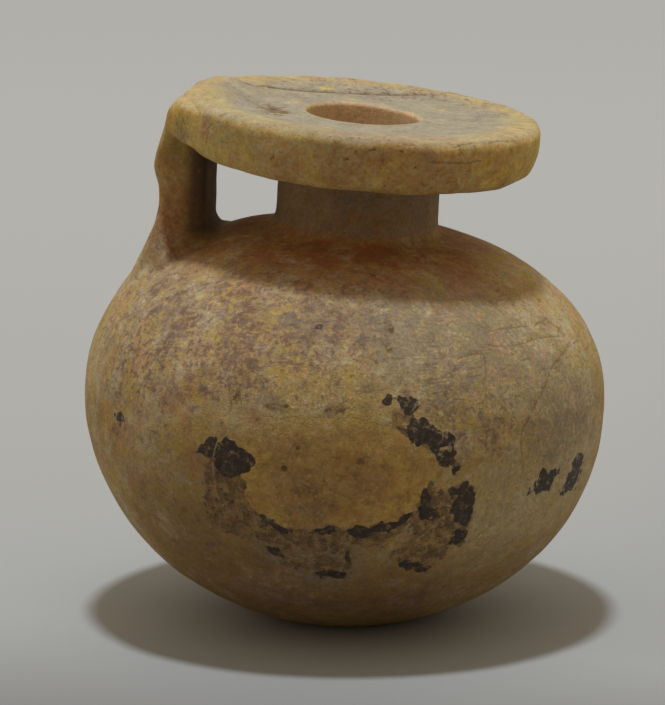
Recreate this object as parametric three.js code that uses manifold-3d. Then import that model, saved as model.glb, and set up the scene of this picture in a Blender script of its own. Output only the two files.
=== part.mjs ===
// A small round-bodied oil flask with a broad disc mouth and one strap handle, in millimetres, +Z up.
// It is built from the pieces that a potter throws and pulls: body, neck, mouth disc and strap, and the
// clay seams that lute them together. The flask leans a little, as it does on its hand-flattened base.
import * as THREE from 'three';
import { mergeVertices } from 'three/addons/utils/BufferGeometryUtils.js';
import Module from 'manifold-3d';

const wasm = await Module();
wasm.setup();

// Body
const bodyRadius = 31; // at the belly, the widest circle
const lowerHeight = 27.1; // belly to bottom, before the base is flattened
const upperHeight = 21.1; // belly to the crown of the shoulder, before it is opened
const lowerSquareness = 2; // exponent of the outline: 2 is an ellipse, more is squarer
const upperSquareness = 2.27;
const standHeight = 26.2; // belly above the surface that the flask stands on
const wall = 3.8;
const floorWall = 4.4; // the wall under the cavity, before the base is flattened
const leanDeg = 3.5; // the whole flask leans away from its handle

// Neck
const neckRadius = 9.6;
const boreRadius = 6.3; // one straight bore through mouth disc, neck and shoulder
const neckHeight = 8.9; // shoulder seat to the underside of the mouth disc, on the axis
const seatMargin = 0.6; // the flat seat is this much wider than the neck

// Mouth disc
const discRadius = 21.3;
const undersideRadius = 19.6;
const discThickness = 5.7;
const dishDepth = 0.7; // the top falls this much from the rim to the mouth
const rimRound = 1.1; // rounding of the top edge
const rimMargin = 3.9; // width of the raised margin round the dish
const lipRound = 0.5; // rounding of the mouth's edge
const discTiltDeg = 1.7; // tilt away from the handle, on top of the lean
const discNodDeg = 0.6; // tilt towards the front
const marginFallShare = 0.12; // of the dish's depth, across the margin

// Strap handle
const strapWidth = 13;
const strapThickness = 4.7; // at the waist
const strapRound = 1; // rounding of its long edges
const rimCover = 1.4; // clay that wraps the outside of the disc's rim

// The strap's outer face in side view, from the shoulder up and over the rim: out from the waist as a
// share of the strap's thickness, and up from the shoulder as a share of the way to the rim's top
const outerFaceShares = [
  [0.64, -0.05], [0.47, 0.005], [0.26, 0.12], [0.11, 0.24], [0.02, 0.36], [0.05, 0.46],
  [0.19, 0.58], [0.15, 0.69], [0.06, 0.8], [0, 0.88], [-0.1, 0.95], [-0.28, 1.01],
];

// The strap's head, from over the rim to its inner end: out from the waist as before, and clay over the
// disc's top as a share of the rim's cover
const headShares = [[-0.55, 0.66], [-0.9, 0.74], [-1.25, 0.66], [-1.55, 0.42]];

// Luting clay
const slipFilm = 0.3; // gap between pieces, where the slip was
const seamEdge = 0.25; // thickness of a seam where it is wiped out
const neckFootReach = 2.6; // seam on the shoulder round the neck
const neckFootRise = 2.2;
const neckHeadReach = 1.1; // seam under the disc round the neck
const neckHeadDrop = 1.3;
const footSeamReach = 2.8; // clay wiped round the strap's foot
const footSeamRise = 3.2;
const footSeamEdge = 0.35; // its thickness where it is wiped out up the strap
const footSquareness = 8; // exponent of its outline in plan
const headSeamReach = 3.4; // clay wiped into the corners beside the strap's head
const headSeamHeight = 4.6;
const headTaperShare = 0.55; // of its height, lost at its tip on the rim

// Facets
const roundSteps = 64;
const curveSteps = 11;
const smallSteps = 4;
const overrun = 5; // how far a cutter, or a piece that is cut back, runs past its cut
const weld = 0.0001; // corners closer than this are one

// Derived places, in the flask's own frame: its axis is Z, and 0 is the belly's centre
const seatRadius = neckRadius + seatMargin;
const seatZ = shoulderZ(seatRadius);
const undersideZ = seatZ + neckHeight;
const discTopZ = undersideZ + discThickness;
const strapOuter = discRadius + rimCover;
const strapInner = strapOuter - strapThickness;
const lean = THREE.MathUtils.degToRad(leanDeg);
const discTilt = THREE.MathUtils.degToRad(discTiltDeg);
const discNod = THREE.MathUtils.degToRad(discNodDeg);

function shoulderZ(radius, grow = 0) {
  const share = Math.min(1, radius / (bodyRadius + grow));
  return (upperHeight + grow) * (1 - share ** upperSquareness) ** (1 / upperSquareness);
}

function discTopAt(radius) {
  return discTopZ + radius * Math.tan(discTilt); // on the handle's side
}

// Geometry and solids

function bare(geometry) {
  const copy = geometry.clone();
  copy.deleteAttribute('normal');
  copy.deleteAttribute('uv');
  return mergeVertices(copy, weld);
}

function solidFrom(geometry) {
  const merged = bare(geometry);
  const corners = merged.index.array;
  const kept = [];
  for (let i = 0; i < corners.length; i += 3) {
    const [a, b, c] = corners.slice(i, i + 3);
    if (a !== b && b !== c && c !== a) kept.push(a, b, c); // a point on the axis makes empty triangles
  }
  const mesh = new wasm.Mesh({
    numProp: 3,
    vertProperties: new Float32Array(merged.attributes.position.array),
    triVerts: new Uint32Array(kept),
  });
  return new wasm.Manifold(mesh);
}

function geometryFrom(solid) {
  const { vertProperties, triVerts } = solid.getMesh();
  const geometry = new THREE.BufferGeometry();
  geometry.setAttribute('position', new THREE.BufferAttribute(vertProperties, 3));
  geometry.setIndex(new THREE.BufferAttribute(triVerts, 1));
  geometry.computeVertexNormals();
  return geometry;
}

function latheOf(points) {
  const outline = points.map(([r, z]) => new THREE.Vector2(r, z));
  return new THREE.LatheGeometry(outline, roundSteps).rotateX(Math.PI / 2);
}

function closedLathe(points) {
  return latheOf([...points, points[0]]);
}

// Points on a quarter of a rounded outline, between two angles that are 0 at its widest
function quarter(radius, height, squareness, from, to, steps) {
  const points = [];
  for (let i = 0; i <= steps; i++) {
    const t = from + ((to - from) * i) / steps;
    const across = Math.max(0, Math.cos(t)) ** (2 / squareness);
    const up = Math.sign(t) * Math.abs(Math.sin(t)) ** (2 / squareness);
    points.push([Math.abs(t) === Math.PI / 2 ? 0 : radius * across, height * up]);
  }
  return points;
}

// The angle at which such an outline has come in to a radius
function angleAt(radius, widest, squareness) {
  return Math.acos((radius / widest) ** (squareness / 2));
}

// Body

function lowerOutline(radius, height) {
  return quarter(radius, height, lowerSquareness, -Math.PI / 2, 0, curveSteps);
}

function upperOutline(radius, height, topRadius) {
  const top = angleAt(topRadius, radius, upperSquareness);
  return quarter(radius, height, upperSquareness, 0, top, curveSteps).slice(1);
}

// The outside of the body with its shoulder closed, larger all over by `grow`
function bodyBlank(grow) {
  const radius = bodyRadius + grow;
  return latheOf([
    ...lowerOutline(radius, lowerHeight + grow),
    ...upperOutline(radius, upperHeight + grow, 0),
  ]);
}

function bodyShell() {
  const cavityRadius = bodyRadius - wall;
  const outside = [
    ...lowerOutline(bodyRadius, lowerHeight),
    ...upperOutline(bodyRadius, upperHeight, seatRadius),
  ];
  const inside = [
    ...lowerOutline(cavityRadius, lowerHeight - floorWall),
    ...upperOutline(cavityRadius, upperHeight - wall, boreRadius),
  ];
  return latheOf([...outside, [boreRadius, seatZ], ...inside.reverse()]);
}

// Everything below the standing surface, in the flask's own frame
function ground() {
  const size = 4 * bodyRadius;
  const block = new THREE.BoxGeometry(size, size, size);
  return block.translate(0, 0, -standHeight - size / 2).rotateY(-lean);
}

// Mouth disc, in a frame with 0 at the middle of its rim's plane

function discSide(grow) {
  const rim = discRadius + grow;
  const underside = undersideRadius + grow;
  const edgeZ = grow - rimRound;
  const drop = discThickness + 2 * grow - rimRound;
  const cheek = quarter(rim - underside, drop, 2, -Math.PI / 2, 0, smallSteps);
  const topEdge = quarter(rimRound, rimRound, 2, 0, Math.PI / 2, smallSteps).slice(1);
  return [
    ...cheek.map(([r, z]) => [underside + r, edgeZ + z]),
    ...topEdge.map(([r, z]) => [rim - rimRound + r, edgeZ + z]),
  ];
}

function discBlank(grow) {
  return latheOf([[0, -discThickness - grow], ...discSide(grow), [0, grow]]);
}

function discRing() {
  const lip = quarter(lipRound, lipRound, 2, 0, Math.PI / 2, smallSteps)
    .map(([r, z]) => [boreRadius + lipRound - r, z - lipRound - dishDepth])
    .reverse();
  const margin = [discRadius - rimMargin, -dishDepth * marginFallShare];
  return closedLathe([[boreRadius, -discThickness], ...discSide(0), margin, ...lip]);
}

const discPlace = new THREE.Matrix4().compose(
  new THREE.Vector3(0, 0, discTopZ),
  new THREE.Quaternion().setFromEuler(new THREE.Euler(discNod, discTilt, 0)),
  new THREE.Vector3(1, 1, 1),
);

// Neck and its seams

function neckTube() {
  const foot = seatZ + slipFilm;
  const top = undersideZ + overrun;
  return closedLathe([[boreRadius, foot], [neckRadius, foot], [neckRadius, top], [boreRadius, top]]);
}

// A hollow quarter, from low at its outer radius up to high at its inner one
function hollow(inner, outer, low, high) {
  return quarter(outer - inner, high - low, 2, 0, Math.PI / 2, smallSteps)
    .map(([r, z]) => [outer - r, high - z])
    .reverse();
}

function neckFootSeam() {
  const inner = neckRadius + slipFilm;
  const outer = neckRadius + neckFootReach;
  const under = [];
  for (let i = 0; i <= smallSteps; i++) {
    const r = seatRadius + ((outer - seatRadius) * i) / smallSteps;
    under.push([r, shoulderZ(r, slipFilm)]);
  }
  const edge = shoulderZ(outer, slipFilm) + seamEdge;
  const wiped = hollow(inner + seamEdge, outer, edge, seatZ + neckFootRise);
  return closedLathe([
    [inner, shoulderZ(seatRadius, slipFilm)], ...under, ...wiped, [inner, seatZ + neckFootRise]]);
}

function neckHeadSeam() {
  const inner = neckRadius + slipFilm;
  const outer = neckRadius + neckHeadReach;
  const meeting = undersideZ - slipFilm;
  const wiped = hollow(inner + seamEdge, outer, seamEdge, neckHeadDrop)
    .map(([r, z]) => [r, meeting - z])
    .reverse();
  const top = undersideZ + overrun;
  return closedLathe([[inner, meeting - neckHeadDrop], ...wiped, [outer, top], [inner, top]]);
}

// Strap handle: its side view in radius and height, extruded across the strap's width

function strapShape() {
  const rise = discTopAt(discRadius) - shoulderZ(strapOuter);
  const face = outerFaceShares.map(([out, up]) => new THREE.Vector2(
    strapOuter + out * strapThickness, shoulderZ(strapOuter) + up * rise));
  const head = headShares.map(([out, over]) => {
    const radius = strapOuter + out * strapThickness;
    return new THREE.Vector2(radius, discTopAt(radius) + slipFilm + over * rimCover);
  });
  const [start] = face;
  const end = head.at(-1);
  const shape = new THREE.Shape();
  shape.moveTo(strapInner, start.y - overrun);
  shape.lineTo(start.x, start.y - overrun);
  shape.lineTo(start.x, start.y);
  shape.splineThru([...face.slice(1), ...head.slice(0, -1)]);
  shape.lineTo(end.x, end.y);
  shape.lineTo(end.x, undersideZ + discThickness / 2);
  shape.lineTo(strapInner, undersideZ + discThickness / 2);
  shape.closePath();
  return shape;
}

function strapBlank(grow) {
  const geometry = new THREE.ExtrudeGeometry(strapShape(), {
    depth: strapWidth - 2 * strapRound,
    curveSegments: 2,
    bevelThickness: strapRound + grow,
    bevelSize: strapRound + grow,
    bevelOffset: -strapRound,
    bevelSegments: 2,
  });
  geometry.translate(0, 0, strapRound - strapWidth / 2);
  // radius runs to -X, height to +Z and width to Y
  return geometry.applyMatrix4(new THREE.Matrix4().set(
    -1, 0, 0, 0,
    0, 0, 1, 0,
    0, 1, 0, 0,
    0, 0, 0, 1));
}

// Turns a circle's coordinate into that of a rounded square
function squared(value) {
  return Math.sign(value) * Math.abs(value) ** (2 / footSquareness);
}

// A rounded square ring round the strap's foot, wider than the foot by `spread` and standing `height`
// over the shoulder
function footRing(spread, height) {
  const [[root], , [knee]] = outerFaceShares;
  const face = (root + (knee - root) * (height / footSeamRise) ** 2) * strapThickness;
  const middle = (strapInner + strapOuter + face) / 2;
  const halfDepth = (strapOuter + face - strapInner) / 2 + spread;
  const halfWidth = strapWidth / 2 + spread;
  const corners = [];
  for (let i = 0; i < roundSteps / 2; i++) {
    const angle = (4 * Math.PI * i) / roundSteps;
    const radius = middle + halfDepth * squared(Math.cos(angle));
    const side = halfWidth * squared(Math.sin(angle));
    corners.push([-radius, side, shoulderZ(Math.hypot(radius, side), slipFilm + seamEdge) + height]);
  }
  return corners;
}

// A closed solid through rings of equally many corners, from the lowest ring up
function loft(rings) {
  const around = rings[0].length;
  const faces = [];
  for (let k = 0; k + 1 < rings.length; k++) {
    for (let i = 0; i < around; i++) {
      const [a, b] = [k * around + i, k * around + ((i + 1) % around)];
      faces.push(a, a + around, b, b, a + around, b + around);
    }
  }
  const top = (rings.length - 1) * around;
  for (let i = 1; i + 1 < around; i++) {
    faces.push(0, i, i + 1);
    faces.push(top, top + i + 1, top + i);
  }
  const geometry = new THREE.BufferGeometry();
  geometry.setAttribute('position', new THREE.Float32BufferAttribute(rings.flat(2), 3));
  geometry.setIndex(faces);
  return geometry;
}

function footMound() {
  const fillet = hollow(slipFilm + footSeamEdge, footSeamReach, 0, footSeamRise);
  const rings = fillet.map(([spread, height]) => footRing(spread, height));
  const bottom = rings[0].map(([x, y, z]) => [x, y, z - overrun]);
  return loft([bottom, ...rings]);
}

// Clay in the corner between the strap's side and the disc's rim, in the disc's frame: a wedge in plan,
// hollow on its open side. Side is -1 for the front and 1 for the back.
function headWedge(side) {
  const near = strapWidth / 2 - strapRound;
  const far = strapWidth / 2 + headSeamReach;
  const open = strapWidth / 2 + slipFilm + seamEdge;
  const rimAt = (y, grow) => Math.sqrt((discRadius + grow) ** 2 - y ** 2);
  const back = rimAt(far, 0) - rimCover;
  const shape = new THREE.Shape();
  shape.moveTo(-back, side * near);
  shape.lineTo(-strapOuter + strapRound / 2, side * near);
  shape.lineTo(-strapOuter + strapRound / 2, side * open);
  shape.quadraticCurveTo(
    -rimAt(open, slipFilm + seamEdge), side * open,
    -rimAt(far, slipFilm + seamEdge), side * far);
  shape.lineTo(-back, side * far);
  shape.closePath();
  const geometry = new THREE.ExtrudeGeometry(shape, {
    depth: headSeamHeight - 2 * seamEdge,
    curveSegments: smallSteps,
    bevelThickness: seamEdge,
    bevelSize: seamEdge,
    bevelOffset: -seamEdge,
    bevelSegments: 2,
  });
  geometry.translate(0, 0, seamEdge - headSeamHeight / 2);
  const { position } = geometry.attributes;
  for (let i = 0; i < position.count; i++) {
    const share = (Math.abs(position.getY(i)) - near) / (far - near); // the wedge narrows to its tip
    position.setZ(i, position.getZ(i) * (1 - share * headTaperShare));
  }
  return geometry.translate(0, 0, -discThickness / 2).applyMatrix4(discPlace);
}

// The pieces

const clays = {
  body: { color: 0x9c8157, roughness: 0.86 },
  disc: { color: 0xa68f5c, roughness: 0.88 },
  seam: { color: 0x8f744c, roughness: 0.9 },
};

function piece(name, geometry, clay) {
  const mesh = new THREE.Mesh(geometry, new THREE.MeshStandardMaterial({ ...clays[clay], metalness: 0 }));
  mesh.name = name;
  return mesh;
}

function cut(geometry, ...cutters) {
  return geometryFrom(cutters.reduce((solid, cutter) => solid.subtract(cutter), solidFrom(geometry)));
}

const aroundBody = solidFrom(bodyBlank(slipFilm));
const aroundDisc = solidFrom(discBlank(slipFilm).applyMatrix4(discPlace));
const aroundStrap = solidFrom(strapBlank(slipFilm));

const flask = new THREE.Group(); // leans with everything on it
flask.position.z = standHeight;
flask.rotation.y = lean;
flask.add(
  piece('vessel_body', cut(bodyShell(), solidFrom(ground())), 'body'),
  piece('neck', cut(neckTube(), aroundDisc), 'body'),
  piece('neck_foot_seam', neckFootSeam(), 'seam'),
  piece('neck_head_seam', cut(neckHeadSeam(), aroundDisc), 'seam'),
  piece('mouth_disc', discRing().applyMatrix4(discPlace), 'disc'),
  piece('strap_handle', cut(strapBlank(0), aroundBody, aroundDisc), 'disc'),
  piece('strap_foot_seam', cut(footMound(), aroundBody, aroundStrap), 'seam'),
  piece('strap_head_seam_front', cut(headWedge(-1), aroundDisc, aroundStrap), 'seam'),
  piece('strap_head_seam_back', cut(headWedge(1), aroundDisc, aroundStrap), 'seam'),
);

const model = new THREE.Group();
model.add(flask);
export default model;
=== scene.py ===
import math
import random
from functools import partial

import bpy
import numpy as np
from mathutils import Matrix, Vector, noise


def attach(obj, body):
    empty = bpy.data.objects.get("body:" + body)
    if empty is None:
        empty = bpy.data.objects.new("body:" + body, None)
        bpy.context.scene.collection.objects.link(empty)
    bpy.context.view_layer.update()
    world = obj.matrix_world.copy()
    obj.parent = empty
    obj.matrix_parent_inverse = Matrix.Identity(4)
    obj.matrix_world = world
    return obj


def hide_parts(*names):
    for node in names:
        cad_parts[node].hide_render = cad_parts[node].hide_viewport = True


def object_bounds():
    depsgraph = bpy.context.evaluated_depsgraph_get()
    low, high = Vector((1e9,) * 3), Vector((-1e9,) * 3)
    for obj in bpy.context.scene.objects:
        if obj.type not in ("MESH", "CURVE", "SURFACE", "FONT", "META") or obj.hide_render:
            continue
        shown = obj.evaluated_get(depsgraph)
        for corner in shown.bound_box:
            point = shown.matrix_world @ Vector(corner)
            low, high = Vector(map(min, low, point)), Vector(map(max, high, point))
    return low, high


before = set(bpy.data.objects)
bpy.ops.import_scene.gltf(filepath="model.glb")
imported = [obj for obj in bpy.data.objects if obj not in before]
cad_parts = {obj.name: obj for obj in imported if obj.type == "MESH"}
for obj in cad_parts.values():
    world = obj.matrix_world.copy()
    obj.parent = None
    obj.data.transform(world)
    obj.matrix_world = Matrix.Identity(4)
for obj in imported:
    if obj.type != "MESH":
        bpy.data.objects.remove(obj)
cadLow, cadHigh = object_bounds()
mm = 0.001  # sizes below are in millimetres until they go into a mesh
noise.seed_set(3)  # without it, the unevenness would differ from run to run
print("frame loaded, CAD box", [round(v, 4) for v in (*cadLow, *cadHigh)])


# The whole flask. Pieces are shaped in the flask's own frame, whose axis is Z with 0 at the belly's
# centre, and are then leaned and lifted onto the floor.
flask = {
    "stand": 26.2,  # belly above the floor
    "lean": 3.5,  # degrees, away from the handle
    "softFloor": 0.35,  # how gently the worn base meets the floor
    "softSide": 0.12,  # how gently anything that would leave the CAD box is held in
    "unevenness": [(17.0, 0.24), (6.5, 0.09), (2.3, 0.035)],  # size of the swellings, and how far
    "rimUnevenness": [(5.0, 0.2), (2.2, 0.07)],
    "swell": {"at": (-13.5, 2.0), "wide": 10.0, "lift": 0.6},  # clay pushed up between strap and neck
    "turningLines": (1.9, 0.02),
    "mouthLift": (0.25, 0.55),  # the disc is thicker than even: at its middle, and more so in front
}


# Camera: the photograph's view, fitted to the rim, the belly and the neck
shot = {
    "wide": 665,
    "high": 705,
    "azimuth": 9.0,
    "elevation": 12.5,
    "distance": 700.0,  # eye to the point aimed at
    "pixelsPerMm": 8.383,  # at that distance
    "aside": -1.513,  # the point aimed at, from the belly's centre
    "above": 5.41,
    "sensor": 36.0,
}


def shotAxes():
    turn, rise = math.radians(shot["azimuth"]), math.radians(shot["elevation"])
    right = np.array([math.cos(turn), math.sin(turn), 0])
    back = np.array([math.sin(turn) * math.cos(rise), -math.cos(turn) * math.cos(rise), math.sin(rise)])
    return right, np.cross(back, right), back


shotRight, shotUp, shotBack = shotAxes()
shotAim = shot["aside"] * shotRight + np.array([0, 0, flask["stand"] + shot["above"]])
shotEye = shotAim + shot["distance"] * shotBack
shotFocal = shot["pixelsPerMm"] * shot["distance"]  # in pixels


def toPixels(points):
    away = points - shotEye
    depth = -away @ shotBack
    across = shot["wide"] / 2 + shotFocal * (away @ shotRight) / depth
    down = shot["high"] / 2 - shotFocal * (away @ shotUp) / depth
    return across, down


def rayThrough(across, down):
    ray = -shotBack * shotFocal + shotRight * (across - shot["wide"] / 2)
    ray = ray - shotUp * (down - shot["high"] / 2)
    return ray / np.linalg.norm(ray)


def addCamera():
    turn = Vector(shotBack).to_track_quat("Z", "Y").to_euler()
    bpy.ops.object.camera_add(location=shotEye * mm, rotation=turn)
    camera = bpy.context.object
    camera.name = "photoCamera"
    camera.data.sensor_width = shot["sensor"]
    camera.data.lens = shotFocal / max(shot["wide"], shot["high"]) * shot["sensor"]
    camera.data.clip_start = 10 * mm
    camera.data.clip_end = 20
    bpy.context.scene.camera = camera


addCamera()
print("camera placed")


# Tools for shaping

def editMode(on=True):
    bpy.ops.object.mode_set(mode="EDIT" if on else "OBJECT")


def selectAll():
    bpy.ops.mesh.select_all(action="SELECT")


# Leaves edit mode with nothing selected, so that vertices, edges or faces can be picked in code
def selectNone(kind):
    bpy.ops.mesh.select_mode(type=kind)
    bpy.ops.mesh.select_all(action="DESELECT")
    editMode(False)


# Leaves edit mode with every face turned outwards
def faceOut():
    selectAll()
    bpy.ops.mesh.normals_make_consistent(inside=False)
    editMode(False)


def deselectAll():
    if bpy.context.object and bpy.context.object.mode != "OBJECT":
        editMode(False)
    bpy.ops.object.select_all(action="DESELECT")


def pick(piece):
    deselectAll()
    piece.select_set(True)
    bpy.context.view_layer.objects.active = piece


def vectorsOf(items, key):
    flat = np.empty(3 * len(items))
    items.foreach_get(key, flat)
    return flat.reshape(-1, 3)


def pointsOf(piece):
    return vectorsOf(piece.data.vertices, "co") / mm


def normalsOf(piece):
    return vectorsOf(piece.data.vertices, "normal")


def setPoints(piece, points):
    piece.data.vertices.foreach_set("co", (points * mm).ravel())
    piece.data.update()


def smoothStep(low, high, value):
    share = np.clip((value - low) / (high - low), 0, 1)
    return share * share * (3 - 2 * share)


# Points along an outline at even steps, with its first and last point kept
def evenly(outline, step):
    outline = np.array(outline, float)
    lengths = np.r_[0, np.cumsum(np.linalg.norm(np.diff(outline, axis=0), axis=1))]
    marks = np.linspace(0, lengths[-1], max(1, round(lengths[-1] / step)) + 1)
    return [(np.interp(m, lengths, outline[:, 0]), np.interp(m, lengths, outline[:, 1])) for m in marks]


# A smooth bend from one point to another, leaving along `out` and arriving along `into`
def bend(start, out, into, end, count=12):
    start, out, into, end = (np.array(v, float) for v in (start, out, into, end))
    points = []
    for t in np.linspace(0, 1, count + 1):
        a, b, c, d = (1 - t) ** 3, 3 * t * (1 - t) ** 2, 3 * t * t * (1 - t), t ** 3
        points.append(tuple(a * start + b * (start + out) + c * (end - into) + d * end))
    return points


# One vertex, extruded from point to point of an outline given as (radius, height)
def drawOutline(name, outline):
    deselectAll()
    bpy.ops.mesh.primitive_plane_add(size=mm, location=(0, 0, 0))
    piece = bpy.context.object
    piece.name = piece.data.name = name
    editMode()
    bpy.ops.mesh.select_mode(type="VERT")
    selectAll()
    bpy.ops.mesh.merge(type="CENTER")
    places = [Vector((radius, 0, height)) * mm for radius, height in outline]
    bpy.ops.transform.translate(value=places[0])
    for before, after in zip(places, places[1:]):
        bpy.ops.mesh.extrude_vertices_move(TRANSFORM_OT_translate={"value": after - before})
    return piece


# Turned on the wheel: an outline spun about the flask's axis
def turned(name, outline, steps):
    piece = drawOutline(name, outline)
    selectAll()
    bpy.ops.mesh.spin(steps=steps, angle=2 * math.pi, center=(0, 0, 0), axis=(0, 0, 1))
    selectAll()
    bpy.ops.mesh.remove_doubles(threshold=0.002 * mm)
    faceOut()
    return piece


def modified(piece, kind, **settings):
    pick(piece)
    modifier = piece.modifiers.new(kind.lower(), kind)
    for key, value in settings.items():
        setattr(modifier, key, value)
    bpy.ops.object.modifier_apply(modifier=modifier.name)


def cutWith(piece, cutter, operation):
    modified(piece, "BOOLEAN", operation=operation, solver="MANIFOLD", object=cutter)


def copyOf(piece, name):
    twin = piece.copy()
    twin.data = piece.data.copy()
    twin.name = twin.data.name = name
    bpy.context.scene.collection.objects.link(twin)
    return twin


def discard(piece):
    bpy.data.objects.remove(piece, do_unlink=True)


# Body: thrown, closed below, open under the neck, with its cavity
body = {
    "radius": 31.0,
    "below": 27.1,  # belly to bottom, before the base is worn flat
    "above": 21.1,  # belly to the crown that the shoulder would have
    "squareness": 2.27,  # of the shoulder's outline, 2 is an ellipse
    "wall": 3.8,
    "floorWall": 4.4,
    "bore": 6.3,
    "steps": 384,
    "row": 0.5,
    "innerRow": 2.6,
}


def shoulderHeight(radius, grow=0.0):
    share = np.minimum(1, radius / (body["radius"] + grow))
    return (body["above"] + grow) * (1 - share ** body["squareness"]) ** (1 / body["squareness"])


def belowOutline(radius, depth):
    return [(radius * math.sin(t), -depth * math.cos(t)) for t in np.linspace(0, math.pi / 2, 90)]


def aboveOutline(radius, rise, inTo):
    power = 2 / body["squareness"]
    last = math.acos((inTo / radius) ** (1 / power))
    return [(radius * math.cos(t) ** power, rise * math.sin(t) ** power) for t in np.linspace(0, last, 90)]


# Neck, and the clay wiped into the angle at its foot and under the disc
neck = {
    "radius": 9.6,
    "seat": 10.2,  # radius of the flat seat that it stands on
    "height": 8.9,
    "footReach": 2.4,
    "footRise": 2.1,
    "headReach": 1.2,
    "headDrop": 1.4,
    "steps": 224,
    "row": 0.45,
}
seatHeight = shoulderHeight(neck["seat"])
undersideHeight = seatHeight + neck["height"]


def makeBody():
    bore = body["bore"]
    inside = body["radius"] - body["wall"]
    lip = neck["radius"] + neck["footReach"]
    outer = belowOutline(body["radius"], body["below"])
    outer += aboveOutline(body["radius"], body["above"], lip)[1:]
    seat = [(r, shoulderHeight(r)) for r in np.linspace(lip, neck["seat"], 5)[1:]]
    cavity = belowOutline(inside, body["below"] - body["floorWall"])
    cavity += aboveOutline(inside, body["above"] - body["wall"], bore)[1:]
    outline = evenly(outer, body["row"]) + seat + [(bore, seatHeight)]
    outline += evenly(cavity[::-1], body["innerRow"])
    return turned("thrownBody", outline, body["steps"])


def makeNeck():
    bore, radius = body["bore"], neck["radius"]
    outside = evenly([(radius, seatHeight), (radius, undersideHeight)], neck["row"])
    inside = evenly([(bore, undersideHeight), (bore, seatHeight)], 2 * neck["row"])
    return turned("neckTube", outside + inside + outside[:1], neck["steps"])


def makeNeckFoot():
    radius, lip = neck["radius"], neck["radius"] + neck["footReach"]
    start, end = (lip, shoulderHeight(lip)), (radius, seatHeight + neck["footRise"])
    slope = shoulderHeight(lip - 0.1) - shoulderHeight(lip)
    hug = 0.82 * neck["footReach"]
    wiped = bend(start, (-hug, hug * slope / 0.1), (0, 0.8 * neck["footRise"]), end)
    under = [(r, shoulderHeight(r)) for r in np.linspace(neck["seat"], lip, 5)]
    outline = evenly(wiped, neck["row"] / 2) + [(radius, seatHeight)] + under
    return turned("neckFootClay", outline, neck["steps"])


def makeNeckHead():
    radius, reach = neck["radius"], neck["radius"] + neck["headReach"]
    start, end = (radius, undersideHeight - neck["headDrop"]), (reach, undersideHeight)
    wiped = bend(start, (0, 0.7 * neck["headDrop"]), (0.7 * neck["headReach"], 0), end)
    outline = evenly(wiped, neck["row"] / 2) + [(radius, undersideHeight), start]
    return turned("neckHeadClay", outline, neck["steps"])


# Mouth disc, turned flat and set on the neck with a slight tilt. Heights here are from its rim's plane.
disc = {
    "radius": 21.3,
    "underside": 19.6,
    "thickness": 5.7,
    "dish": 0.7,
    "margin": 3.9,  # width of the raised margin
    "slope": 6.5,  # width over which the margin falls into the dish
    "rimRound": 1.2,
    "lipRound": 0.5,
    "flare": 0.35,  # the bore opens out towards its top
    "tilt": 1.7,  # away from the handle, on top of the lean
    "nod": 0.6,  # towards the front
    "blend": 3.2,  # the tilt fades out this far down the neck
    "steps": 320,
    "row": 0.4,
}
discTop = undersideHeight + disc["thickness"]


def dishHeight(radius):
    edge = disc["radius"] - disc["margin"]
    return -disc["dish"] * smoothStep(edge + 1.5, edge - disc["slope"], radius)


# The disc's side and the rounded edges above and below it, grown all over
def discSide(grow=0.0):
    rim, foot, rounding = disc["radius"] + grow, disc["underside"] + grow, disc["rimRound"]
    bottom, edge = -disc["thickness"] - grow, grow - rounding
    quarter = np.linspace(0, math.pi / 2, 24)
    cheek = [(foot + (rim - foot) * math.sin(t), edge - (edge - bottom) * math.cos(t)) for t in quarter]
    corner = [(rim - rounding * (1 - math.cos(t)), edge + rounding * math.sin(t)) for t in quarter]
    return cheek, corner[1:]


def makeDisc():
    bore, lip, row = body["bore"], disc["lipRound"], disc["row"]
    flare = bore + disc["flare"]
    cheek, corner = discSide()
    reach, bottom = neck["radius"] + neck["headReach"], -disc["thickness"]
    under = [(bore, bottom), (neck["radius"], bottom)] + evenly([(reach, bottom), cheek[0]], row)
    inward = np.linspace(corner[-1][0], flare + lip, 60)
    top = [(r, dishHeight(r)) for r in inward]
    mouth = top[-1][1]
    turns = np.linspace(0, math.pi / 2, 7)
    lipBend = [(flare + lip * (1 - math.sin(t)), mouth - lip * (1 - math.cos(t))) for t in turns]
    shaft = evenly([(flare, mouth - lip), (bore, bottom)], 2 * row)
    outline = under + evenly(cheek, row)[1:] + evenly(corner, row / 2)[1:] + evenly(top, row)[1:]
    outline += lipBend[1:] + shaft[1:]
    outline = [(r, discTop + z) for r, z in outline]
    return turned("mouthDisc", outline, disc["steps"])


def turnMatrix(axis, degrees):
    c, s = math.cos(math.radians(degrees)), math.sin(math.radians(degrees))
    rows = {"X": [[1, 0, 0], [0, c, -s], [0, s, c]], "Y": [[c, 0, s], [0, 1, 0], [-s, 0, c]]}
    return np.array(rows[axis])


discTurn = turnMatrix("X", disc["nod"]) @ turnMatrix("Y", disc["tilt"])
leanTurn = turnMatrix("Y", flask["lean"])


# The disc's tilt, which fades out down the neck
def tiltTop(points):
    middle = np.array([0, 0, discTop])
    held = smoothStep(undersideHeight - disc["blend"], undersideHeight - 0.3, points[:, 2])[:, None]
    tilted = (points - middle) @ discTurn.T + middle
    return points * (1 - held) + tilted * held


def tilt(piece):
    setPoints(piece, tiltTop(pointsOf(piece)))


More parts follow.
